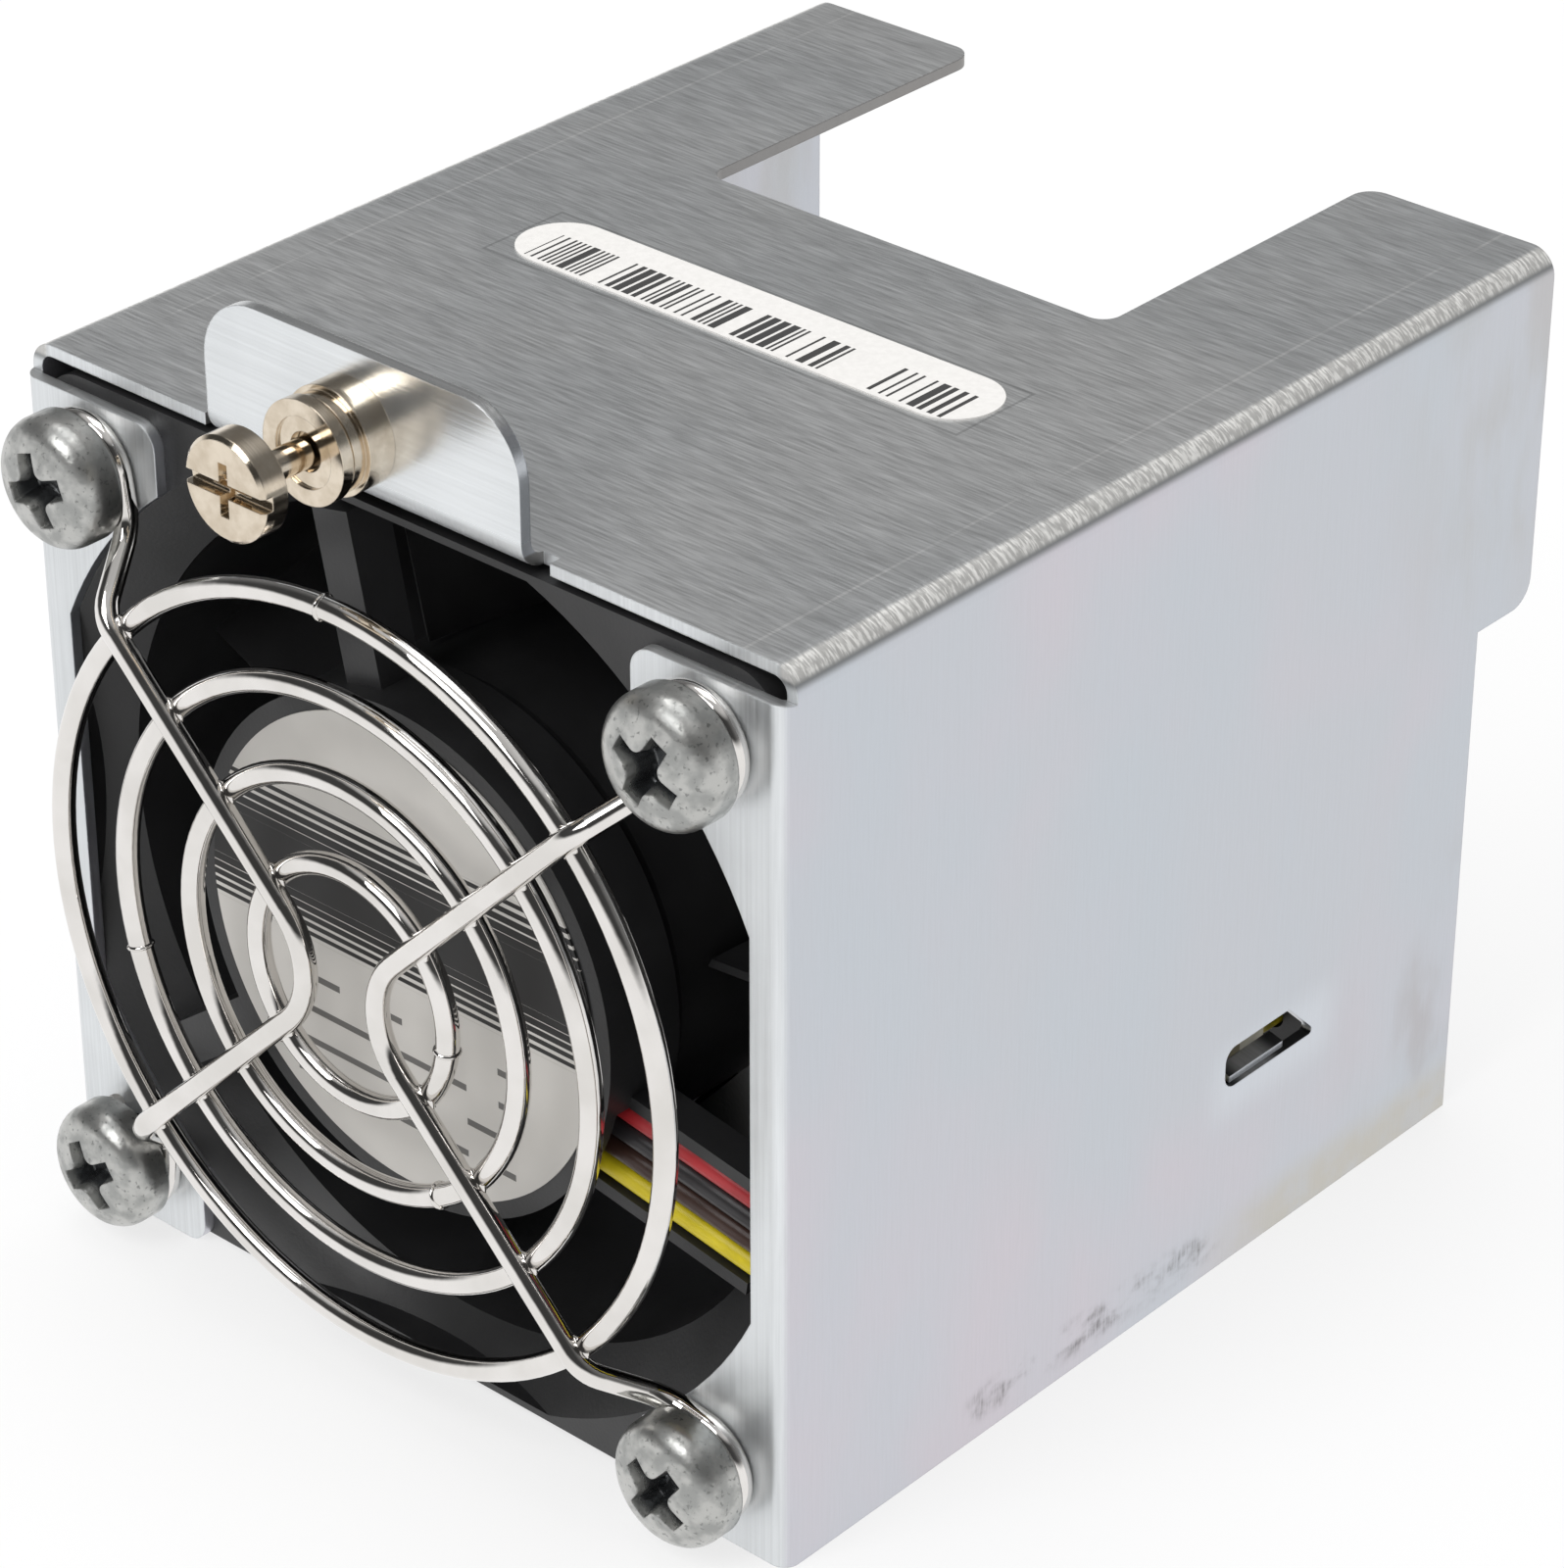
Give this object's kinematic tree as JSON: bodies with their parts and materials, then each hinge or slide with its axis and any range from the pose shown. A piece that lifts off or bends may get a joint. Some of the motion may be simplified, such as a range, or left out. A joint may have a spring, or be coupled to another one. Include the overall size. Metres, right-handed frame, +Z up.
{
  "type": "fan module",
  "caption": "Axial fan in a folded sheet steel bracket with front ears, a wire finger guard, a captive screw on a bent-up tab and a four-wire lead ending in a plug",
  "frame": {"origin": "bottom centre of the whole module's bounding box, on the bracket's lower edges", "axes": "+X to the right seen from the finger guard's side, +Y back through the fan along its axis, +Z up through the top plate"},
  "size_m": [0.0624, 0.083, 0.0707],
  "materials": {
    "bracket": "zinc-plated sheet steel, brushed, clear passivated",
    "fan_housing": "glass-filled black plastic, fine moulded texture",
    "hub_label": "silver printed film sticker with a dark band",
    "impeller": "glass-filled black plastic",
    "rotor_yoke": "drawn zinc-plated steel",
    "rotor_magnet": "plastic-bonded ferrite",
    "shaft": "ground stainless steel",
    "shaft_clip": "white nylon",
    "thrust_washer": "natural nylon",
    "bearing_front": "ground bearing steel",
    "bearing_rear": "ground bearing steel",
    "bearing_tube": "turned brass",
    "stator_core": "laminated silicon steel",
    "coils": "enamelled copper wire",
    "circuit_board": "green solder mask on glass epoxy",
    "board_parts": "moulded black packages",
    "finger_guard": "bright nickel-plated steel wire",
    "fan_screws": "zinc-plated steel, dull",
    "captive_ferrule": "bright nickel-plated brass",
    "captive_washer": "bright nickel-plated steel",
    "captive_screw": "bright nickel-plated steel",
    "part_label": "white paper film sticker with plain bars",
    "lead_yellow": "yellow insulation",
    "lead_brown": "brown insulation",
    "lead_black": "black insulation",
    "lead_red": "red insulation",
    "cable_tie": "natural nylon",
    "plug_housing": "black nylon",
    "plug_contacts": "stamped brass, tin-plated"
  },
  "bodies": {
    "module": {"bracket": "bracket", "fan_housing": "fan_housing", "hub_label": "hub_label", "bearing_front": "bearing_front", "bearing_rear": "bearing_rear", "bearing_tube": "bearing_tube", "stator_core": "stator_core", "coils": "coils", "circuit_board": "circuit_board", "board_parts": "board_parts", "finger_guard": "finger_guard", "fan_screws": "fan_screws", "captive_ferrule": "captive_ferrule", "part_label": "part_label", "lead_yellow": "lead_yellow", "lead_brown": "lead_brown", "lead_black": "lead_black", "lead_red": "lead_red", "cable_tie": "cable_tie", "plug_housing": "plug_housing", "plug_contacts": "plug_contacts"},
    "rotor": {"impeller": "impeller", "rotor_yoke": "rotor_yoke", "rotor_magnet": "rotor_magnet", "shaft": "shaft", "shaft_clip": "shaft_clip", "thrust_washer": "thrust_washer"},
    "captive_slider": {"captive_washer": "captive_washer"},
    "captive_turner": {"captive_screw": "captive_screw"}
  },
  "joints": [
    {"name": "fan_spin", "type": "hinge", "parent": "module", "child": "rotor", "pos_m": [0, -0.0105, 0.0305], "axis": [0, 1, 0], "continuous": true},
    {"name": "captive_travel", "type": "slide", "parent": "module", "child": "captive_slider", "axis": [0, 1, 0], "range_m": [0, 0.0038]},
    {"name": "captive_turn", "type": "hinge", "parent": "captive_slider", "child": "captive_turner", "pos_m": [-0.0021, -0.0363, 0.0656], "axis": [0, 1, 0], "continuous": true}
  ]
}
